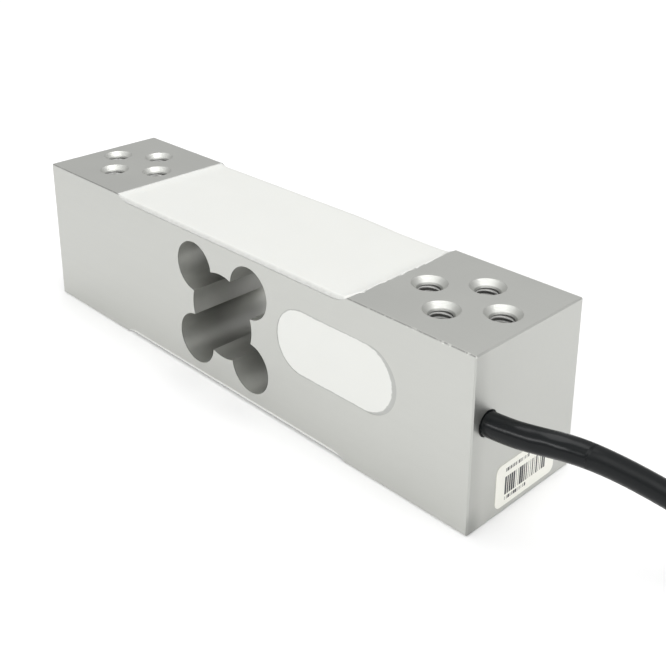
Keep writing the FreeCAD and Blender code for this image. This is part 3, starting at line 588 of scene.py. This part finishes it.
def new_piece(name, mesh, material):
    """An object at the origin that rides on the part."""
    piece = bpy.data.objects.new(name, mesh)
    bpy.context.scene.collection.objects.link(piece)
    mesh.materials.clear()
    mesh.materials.append(material)
    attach(piece, "root")
    return piece


def mesh_from(build, name):
    """A mesh whose faces point outwards, built by a function that fills a bmesh."""
    body = bmesh.new()
    build(body)
    bmesh.ops.remove_doubles(body, verts=body.verts, dist=1e-7)
    bmesh.ops.recalc_face_normals(body, faces=body.faces)
    mesh = bpy.data.meshes.new(name)
    body.to_mesh(mesh)
    body.free()
    for face in mesh.polygons:
        face.use_smooth = True
    return mesh


# ---------------------------------------------------------------- node tree helpers


class Builder(NodeTree):
    """A geometry node tree with named inputs."""

    def __init__(self, name, inputs):
        self.tree = bpy.data.node_groups.new(name, "GeometryNodeTree")
        sockets = self.tree.interface
        sockets.new_socket("Geometry", in_out="OUTPUT", socket_type="NodeSocketGeometry")
        self.names = {}
        for label, kind in inputs:
            made = sockets.new_socket(label, in_out="INPUT", socket_type=kind)
            self.names[label] = made.identifier
        self.entry = self.tree.nodes.new("NodeGroupInput")
        self.exit = self.tree.nodes.new("NodeGroupOutput")

    def input(self, label):
        return self.entry.outputs[label]

    def finish(self, geometry, material):
        real = self.add("GeometryNodeRealizeInstances", {0: geometry})
        painted = self.add("GeometryNodeSetMaterial",
                           {"Geometry": real.outputs[0], "Material": material})
        self.tree.links.new(painted.outputs[0], self.exit.inputs[0])


def grown(builder, base, values, name):
    """The plain mesh that a node tree makes on a base mesh with these input values."""
    holder = bpy.data.objects.new(name + "_source", base)
    bpy.context.scene.collection.objects.link(holder)
    modifier = holder.modifiers.new("Nodes", "NODES")
    modifier.node_group = builder.tree
    for label, value in values.items():
        modifier[builder.names[label]] = value
    bpy.context.view_layer.update()
    evaluated = holder.evaluated_get(bpy.context.evaluated_depsgraph_get())
    mesh = bpy.data.meshes.new_from_object(evaluated)
    mesh.name = name
    bpy.data.objects.remove(holder)
    return mesh


# ---------------------------------------------------------------- operators


class LOADCELL_OT_stage(bpy.types.Operator):
    """Camera, floor, room and soft lights"""
    bl_idname = "loadcell.stage"
    bl_label = "Stage"

    def execute(self, context):
        settings = context.scene.loadcell_studio
        scene = context.scene
        lens = bpy.data.cameras.new("camera")
        lens.lens = settings.lens
        lens.shift_x = settings.shift_across
        lens.shift_y = settings.shift_up
        lens.clip_start = 0.01
        camera = bpy.data.objects.new("camera", lens)
        camera.location = settings.camera_place
        camera.rotation_euler = settings.camera_turn
        scene.collection.objects.link(camera)
        scene.camera = camera

        def lay(body):
            bmesh.ops.create_grid(body, x_segments=1, y_segments=1, size=FLOOR_HALF_SIZE)

        floor = bpy.data.objects.new("floor", mesh_from(lay, "floor"))
        scene.collection.objects.link(floor)
        pale = Finish("pale_floor", settings.floor, 0.9)
        floor.data.materials.append(pale.material)

        world = bpy.data.worlds.new("room")
        world.use_nodes = True
        sky = world.node_tree.nodes["Background"]
        sky.inputs["Color"].default_value = (1, 1, 1, 1)
        nodes, links = world.node_tree.nodes, world.node_tree.links
        way = nodes.new("ShaderNodeTexCoord")
        upward = nodes.new("ShaderNodeSeparateXYZ")
        glow = nodes.new("ShaderNodeMapRange")
        glow.inputs["From Max"].default_value = ROOM_RISE
        glow.inputs["To Min"].default_value = settings.surround * ROOM_LOW
        glow.inputs["To Max"].default_value = settings.surround * ROOM_HIGH
        links.new(way.outputs["Generated"], upward.inputs[0])
        links.new(upward.outputs["Z"], glow.inputs["Value"])
        links.new(glow.outputs["Result"], sky.inputs["Strength"])
        scene.world = world
        scene.view_settings.view_transform = "Standard"

        for name, place, target, width, height, power in LIGHTS:
            lamp = bpy.data.lights.new(name, "AREA")
            lamp.shape = "RECTANGLE"
            lamp.size = width
            lamp.size_y = height
            lamp.energy = power
            light = bpy.data.objects.new(name, lamp)
            light.location = place
            aim = Vector(target) - Vector(place)
            light.rotation_euler = aim.to_track_quat("-Z", "Y").to_euler()
            scene.collection.objects.link(light)
        return {"FINISHED"}


def between(stops, place):
    """Radius and height at a place along the folds, from the nearest stops."""
    for (start, *low), (end, *high) in zip(stops, stops[1:]):
        if place <= end:
            part = (place - start) / (end - start)
            return [a + (b - a) * part for a, b in zip(low, high)]
    return stops[-1][1:]


def hank_point(place):
    """Point of the folded cable: far run, right half turn, near run, left half turn."""
    radius, height = between(HANK_STOPS, place)
    radius *= MM
    leg, part = divmod(place % 4, 1)
    side = 1 if leg < 2 else -1
    if leg in (0, 2):
        offset = Vector((side * HANK_HALF_RUN * (2 * part - 1), side * radius, 0))
    else:
        angle = math.pi * (0.5 - part)
        radius *= HALF_TURN_SWELL
        offset = Vector((side * (HANK_HALF_RUN + radius * math.cos(angle)),
                         side * radius * math.sin(angle), 0))
    return HANK_MIDDLE + offset + Vector((0, 0, height * MM))


class LOADCELL_OT_cable(bpy.types.Operator):
    """Signal cable: out of the end face, down to the bench and into its hank"""
    bl_idname = "loadcell.cable"
    bl_label = "Cable"

    def execute(self, context):
        settings = context.scene.loadcell_cable
        points = [Vector(point) for point in CABLE_ROUTE]
        for loop in range(HANK_LOOPS):
            for part in HANK_PARTS:
                place = 4 * loop + part
                if place <= HANK_STOPS[-1][0]:
                    points.append(hank_point(place))
        points.append(Vector(TAIL_START))
        curve = bpy.data.curves.new("signal_cable", "CURVE")
        curve.dimensions = "3D"
        line = curve.splines.new("NURBS")
        line.points.add(len(points) - 1)
        for knot, point in zip(line.points, points):
            knot.co = (*point, 1.0)
            knot.radius = SLEEVE_SWELL if point.x < SLEEVE_END else 1.0
        line.order_u = 3
        line.use_endpoint_u = True
        line.resolution_u = 8
        line.use_smooth = True
        curve.bevel_depth = CABLE_DIAMETER / 2
        curve.bevel_resolution = 6
        curve.use_fill_caps = True
        curve.materials.append(jacket_finish(settings))
        cable = bpy.data.objects.new("signal_cable", curve)
        context.scene.collection.objects.link(cable)
        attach(cable, "root")
        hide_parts("cable", "cable_hank")
        return {"FINISHED"}


class LOADCELL_OT_beam(bpy.types.Operator):
    """Finish of the beam"""
    bl_idname = "loadcell.beam"
    bl_label = "Beam"

    def execute(self, context):
        paint(["spring_body"], metal_finish(context.scene.loadcell_beam))
        return {"FINISHED"}


def thread_tree(material):
    """A helix with a sharp crest, half sunk in the wall, on every point of the base."""
    inputs = (("Base", "NodeSocketGeometry"), ("Pitch", "NodeSocketFloat"),
              ("Depth", "NodeSocketFloat"), ("Radius", "NodeSocketFloat"),
              ("Turns", "NodeSocketInt"))
    made = Builder("threads", inputs)
    height = made.math("MULTIPLY", made.input("Pitch"), made.input("Turns"))
    downward = made.math("MULTIPLY", height, -1.0)
    helix = made.add("GeometryNodeCurveSpiral", {
        "Resolution": 28, "Rotations": made.input("Turns"),
        "Start Radius": made.input("Radius"), "End Radius": made.input("Radius"),
        "Height": downward})
    upright = made.add("GeometryNodeSetCurveNormal", {"Curve": helix.outputs[0]}, mode="Z_UP")
    diamond = made.add("GeometryNodeCurvePrimitiveCircle", {"Resolution": 4, "Radius": 1.0})
    shape = made.add("ShaderNodeCombineXYZ", {
        "X": made.input("Depth"), "Y": made.math("MULTIPLY", made.input("Pitch"), CREST_SHARE),
        "Z": 1.0})
    crest = made.add("GeometryNodeTransform", {
        "Geometry": diamond.outputs["Curve"], "Scale": shape.outputs[0]})
    tube = made.add("GeometryNodeCurveToMesh", {
        "Curve": upright.outputs[0], "Profile Curve": crest.outputs["Geometry"],
        "Fill Caps": True})
    placed = made.add("GeometryNodeInstanceOnPoints", {
        "Points": made.input("Base"), "Instance": tube.outputs["Mesh"]})
    made.finish(placed.outputs["Instances"], material)
    return made


class LOADCELL_OT_threads(bpy.types.Operator):
    """Threads in the tapped holes of the four pads"""
    bl_idname = "loadcell.threads"
    bl_label = "Threads"

    def execute(self, context):
        settings = context.scene.loadcell_beam
        look = Finish("cut_thread", (0.44, 0.44, 0.43), 0.55, 1.0)
        fine = look.noise(4000, 2)
        look.drive("Roughness", look.spread(fine, 0.5, 0.6))
        look.drive("Normal", look.bump(fine, 0.01 * MM, 0.4))
        made = thread_tree(look.material)
        base = bpy.data.meshes.new("hole_places")
        places = []
        for end in (-1, 1):
            for along, across in ((HOLE_REACH_ALONG, 0), (-HOLE_REACH_ALONG, 0),
                                  (0, HOLE_REACH_ACROSS), (0, -HOLE_REACH_ACROSS)):
                top = Vector((end * HOLE_CENTRE + along, across,
                              BEAM_TOP - settings.sink_depth))
                places.append(top)
                places.append(Vector((end * BASE_HOLE_CENTRE + along, across,
                                      settings.sink_depth
                                      + settings.thread_pitch * settings.thread_turns)))
        base.from_pydata(places, [], [])
        mesh = grown(made, base, {
            "Pitch": settings.thread_pitch, "Depth": settings.thread_depth,
            "Radius": settings.drill_radius, "Turns": settings.thread_turns}, "threads")
        new_piece("threads", mesh, look.material)
        return {"FINISHED"}


def relief_height(x, radius, depth):
    """Height under the pad face of a floor that sweeps up to the pads."""
    reach = math.sqrt(radius**2 - (radius - depth) ** 2)
    over = abs(x) - (PAD_EDGE - reach)
    if over <= 0:
        return -depth
    if over >= reach:
        return 0.0
    return -depth + radius - math.sqrt(radius**2 - over**2)


def rise(value, start, end):
    """0 before start and 1 after end, with a smooth rise between."""
    part = max(0.0, min(1.0, (value - start) / (end - start)))
    return part * part * (3 - 2 * part)


def uneven(*place):
    """Smooth noise at a place; its last numbers only set one surface's draw apart."""
    return noise.noise(Vector(place))


def round_drop(radius, near):
    """How far a rounded edge drops, this near to the end of its face."""
    return radius - math.sqrt(max(0.0, radius**2 - (radius - near) ** 2))


def coat_mesh(settings, on_top):
    """Silicone on one relief floor: rounded long edges, swept ends, thin uneven flash
    over the pads."""
    depth = RELIEF_DEPTH - settings.coat_level
    half = HALF_WIDTH - COAT_INSET
    side = 1 if on_top else -1
    pad = BEAM_TOP if on_top else 0.0

    def edge_at(y, end):
        """Where the flash ends on a pad."""
        waves = uneven(y * 420, end * 9.0, side * 4.0)
        lumps = uneven(y * 2100, end * 17.0, side * 8.0)
        lap = settings.flash * (0.35 + 0.9 * waves + 0.5 * lumps)
        if end < 0:
            return -PAD_EDGE - max(0.25 * lap, -FLASH_RETREAT)
        bare = 1.6 * MM * rise(y, 8 * MM, half) + 1.2 * MM * rise(-y, 13 * MM, half)
        return PAD_EDGE + max(lap, -FLASH_RETREAT) - bare

    def coat_height(x, y, floor, end_gap):
        """Height of the coat under the pad face."""
        z = relief_height(x, settings.coat_sweep, depth)
        near = half - abs(y)
        if near < COAT_ROUNDING:
            z -= round_drop(COAT_ROUNDING, near)
        z -= COAT_FALL * rise(y, half - 1.6 * MM, half) * rise(x, 10 * MM, 34 * MM)
        z += 0.05 * MM * uneven(x * 90, y * 120, side)
        if abs(x) > PAD_EDGE - FLASH_ZONE:
            z += 0.10 * MM * max(0.0, 0.5 + uneven(x * 900, y * 900, side))
        rim = max(0.0, min(1.0, end_gap / FLASH_RIM))
        z = floor + max(0.0, z - floor) * math.sqrt(rim * (2 - rim))
        return max(z, floor + LEAST_COAT)

    def build(body):
        grid = []
        for row in range(COAT_ROWS + 1):
            t = row / COAT_ROWS
            y = (half * math.sin((t - 0.5) * math.pi) * EDGE_ROW_SHARE
                 + half * (2 * t - 1) * (1 - EDGE_ROW_SHARE))
            left, right = edge_at(y, -1), edge_at(y, 1)
            line = []
            for column in range(COAT_COLUMNS + 1):
                s = column / COAT_COLUMNS
                s -= COLUMN_EASE * math.sin(2 * math.pi * s) / (2 * math.pi)
                x = left + (right - left) * s
                floor = relief_height(x, RELIEF_RADIUS, RELIEF_DEPTH)
                z = coat_height(x, y, floor, min(x - left, right - x))
                base = floor + COAT_LIFT
                line.append((x, y, pad + side * z, pad + side * base))
            grid.append(line)
        upper = [[body.verts.new((x, y, high)) for x, y, high, _ in line] for line in grid]
        lower = [[body.verts.new((x, y, low)) for x, y, _, low in line] for line in grid]
        for r in range(COAT_ROWS):
            for c in range(COAT_COLUMNS):
                body.faces.new((upper[r][c], upper[r][c + 1], upper[r + 1][c + 1],
                                upper[r + 1][c]))
                body.faces.new((lower[r][c], lower[r + 1][c], lower[r + 1][c + 1],
                                lower[r][c + 1]))
        for r in range(COAT_ROWS):
            for c in (0, COAT_COLUMNS):
                body.faces.new((upper[r][c], upper[r + 1][c], lower[r + 1][c], lower[r][c]))
        for c in range(COAT_COLUMNS):
            for r in (0, COAT_ROWS):
                body.faces.new((upper[r][c], upper[r][c + 1], lower[r][c + 1], lower[r][c]))

    return mesh_from(build, "coat")


def fill_mesh():
    """Silicone in the side pocket: a rounded rim, a slightly uneven face, and set back a
    little at the end nearest the cable."""

    def face_depth(x, z, near):
        """How far the face lies behind the front of the beam."""
        rough = 0.10 * MM * uneven(x * 700, z * 700, 3.0)
        over = max(x - POCKET_HALF_RUN + POCKET_SHORT, -x - POCKET_HALF_RUN, 0.0)
        from_axis = math.hypot(over, z) + rough
        sunk = -FILL_PROUD
        if near < FILL_RIM:
            sunk += 0.8 * round_drop(FILL_RIM, near)
        sunk += 0.02 * MM + 0.1 * MM * rise(over, 0.5 * MM, 2 * MM) * rise(
            from_axis, POCKET_RADIUS - 0.3 * MM, POCKET_RADIUS)
        return sunk + 0.04 * MM * uneven(x * 150, z * 150, 7.0)

    def build(body):
        loops = []
        for ring in range(FILL_RINGS + 1):
            near = (POCKET_RADIUS + FILL_LAP) * (ring / FILL_RINGS) ** 1.6 * 0.999
            radius = POCKET_RADIUS - (near - FILL_LAP)
            loop = []
            for k in range(FILL_POINTS):
                angle = 2 * math.pi * (k + 0.5) / FILL_POINTS
                run = math.copysign(POCKET_HALF_RUN, math.cos(angle))
                x, z = run + radius * math.cos(angle), radius * math.sin(angle)
                place = POCKET_CENTRE + Vector((x, face_depth(x, z, near), z))
                loop.append(body.verts.new(place))
            loops.append(loop)
        behind = [body.verts.new((v.co.x, POCKET_CENTRE.y + FILL_DEPTH, v.co.z))
                  for v in loops[0]]
        for first, second in zip([behind] + loops, loops):
            for k in range(FILL_POINTS):
                n = (k + 1) % FILL_POINTS
                body.faces.new((first[k], first[n], second[n], second[k]))
        body.faces.new(loops[-1])
        body.faces.new(list(reversed(behind)))

    return mesh_from(build, "pocket_fill")


class LOADCELL_OT_silicone(bpy.types.Operator):
    """Silicone over the gauges, above and below, and in the side pocket"""
    bl_idname = "loadcell.silicone"
    bl_label = "Silicone"

    def execute(self, context):
        settings = context.scene.loadcell_silicone
        look = silicone_finish(settings)
        for name, on_top, node in (("coat_above", True, "top_potting"),
                                   ("coat_below", False, "bottom_potting")):
            piece = new_piece(name, coat_mesh(settings, on_top), look)
            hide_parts(node)
        piece = new_piece("pocket_fill", fill_mesh(), look)
        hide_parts("side_potting")
        return {"FINISHED"}


class LOADCELL_OT_inner_parts(bpy.types.Operator):
    """Finishes of the gauges, leads, board, cores, seal and stripped end"""
    bl_idname = "loadcell.inner_parts"
    bl_label = "Inner parts"

    def execute(self, context):
        paint([n for n in NODES if n.startswith("gauge_")], gauge_finish())
        paint([n for n in NODES if n.startswith("lead_")],
              plastic_finish("lead_enamel", (0.35, 0.08, 0.04), 0.35))
        paint(["compensation_board"], board_finish())
        paint(["span_resistor_plus", "span_resistor_minus", "zero_resistor",
               "input_resistor"], chip_finish())
        paint(["cable_entry"], plastic_finish("cable_entry_jacket", (0.015, 0.015, 0.015)))
        paint(["cable_seal"], plastic_finish("seal_rubber", (0.02, 0.02, 0.02), 0.6))
        paint(["hank_ties"], plastic_finish("strap", (0.03, 0.03, 0.03), 0.5))
        for colour, tone in (("red", (0.50, 0.02, 0.015)), ("green", (0.02, 0.26, 0.05)),
                             ("black", (0.015, 0.015, 0.015)), ("white", (0.75, 0.75, 0.73))):
            paint([f"core_{colour}", f"tail_{colour}"],
                  plastic_finish(f"insulation_{colour}", tone, 0.35))
        paint(["core_screen", "tail_screen", "tail_tips"], strand_finish())
        return {"FINISHED"}


def bar_tree(material):
    """A row of upright bars of uneven width and gap, from a fixed seed."""
    inputs = (("Base", "NodeSocketGeometry"), ("Count", "NodeSocketInt"),
              ("Run", "NodeSocketFloat"), ("Height", "NodeSocketFloat"),
              ("Seed", "NodeSocketInt"), ("Thickness", "NodeSocketFloat"))
    made = Builder("label_bars", inputs)
    gap = made.math("DIVIDE", made.input("Run"), made.input("Count"))
    start = made.add("ShaderNodeCombineXYZ", {"Y": made.math("MULTIPLY", made.input("Run"), -0.5)})
    step = made.add("ShaderNodeCombineXYZ", {"Y": gap})
    line = made.add("GeometryNodeMeshLine", {"Count": made.input("Count")})
    made.tree.links.new(start.outputs[0], line.inputs["Start Location"])
    made.tree.links.new(step.outputs[0], line.inputs["Offset"])
    box = made.add("GeometryNodeMeshCube")
    shape = made.add("ShaderNodeCombineXYZ", {
        "X": made.input("Thickness"), "Y": gap, "Z": made.input("Height")})
    made.tree.links.new(shape.outputs[0], box.inputs["Size"])
    width = made.add("FunctionNodeRandomValue", {"Seed": made.input("Seed")})
    width.inputs[2].default_value, width.inputs[3].default_value = STROKE_RANGE
    stroke = made.math("MAXIMUM", width.outputs[1], STROKE_LEAST)
    scale = made.add("ShaderNodeCombineXYZ", {"X": 1.0, "Y": stroke, "Z": 1.0})
    placed = made.add("GeometryNodeInstanceOnPoints", {
        "Points": line.outputs[0], "Instance": box.outputs[0], "Scale": scale.outputs[0]})
    made.finish(placed.outputs["Instances"], material)
    return made


class LOADCELL_OT_label(bpy.types.Operator):
    """Label on the end face, with plain bars and no words"""
    bl_idname = "loadcell.label"
    bl_label = "Label"

    def execute(self, context):
        settings = context.scene.loadcell_label
        paint(["label"], paper_finish(settings))
        ink = ink_finish(settings)
        low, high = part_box("label")
        middle = (Vector(low) + Vector(high)) / 2
        made = bar_tree(ink)
        rows = ((*MAIN_ROW, settings.bars, MAIN_SEED), *SHORT_ROWS)
        body = bmesh.new()
        for across, up, run, height, count, seed in rows:
            base = bpy.data.meshes.new("label_base")
            base.from_pydata([(0, 0, 0)], [], [])
            strip = grown(made, base, {"Count": count, "Run": run, "Height": height,
                                       "Seed": seed, "Thickness": BAR_THICKNESS}, "bars")
            shift = Vector((high[0] + BAR_GAP, middle.y + across, middle.z + up))
            for vertex in strip.vertices:
                vertex.co += shift
            body.from_mesh(strip)
        mesh = bpy.data.meshes.new("label_bars")
        body.to_mesh(mesh)
        body.free()
        new_piece("label_bars", mesh, ink)
        return {"FINISHED"}


class LOADCELL_PT_panel(bpy.types.Panel):
    """Lists the pieces of the load cell"""
    bl_idname = "LOADCELL_PT_panel"
    bl_label = "Load cell"
    bl_space_type = "VIEW_3D"
    bl_region_type = "UI"
    bl_category = "Load Cell"

    def draw(self, context):
        for operator in OPERATORS:
            self.layout.operator(operator.bl_idname)


OPERATORS = (
    LOADCELL_OT_stage,
    LOADCELL_OT_cable,
    LOADCELL_OT_beam,
    LOADCELL_OT_threads,
    LOADCELL_OT_silicone,
    LOADCELL_OT_inner_parts,
    LOADCELL_OT_label,
)
SETTINGS = {
    "loadcell_beam": BeamSettings,
    "loadcell_silicone": SiliconeSettings,
    "loadcell_cable": CableSettings,
    "loadcell_label": LabelSettings,
    "loadcell_studio": StudioSettings,
}


def register():
    for name, group in SETTINGS.items():
        bpy.utils.register_class(group)
        setattr(bpy.types.Scene, name, bpy.props.PointerProperty(type=group))
    for item in (*OPERATORS, LOADCELL_PT_panel):
        bpy.utils.register_class(item)


def unregister():
    for item in reversed((*OPERATORS, LOADCELL_PT_panel)):
        bpy.utils.unregister_class(item)
    for name, group in reversed(SETTINGS.items()):
        delattr(bpy.types.Scene, name)
        bpy.utils.unregister_class(group)


def main():
    register()
    bpy.ops.loadcell.stage()
    bpy.ops.loadcell.cable()
    bpy.ops.loadcell.beam()
    bpy.ops.loadcell.threads()
    bpy.ops.loadcell.silicone()
    bpy.ops.loadcell.inner_parts()
    bpy.ops.loadcell.label()


if __name__ == "__main__":
    main()
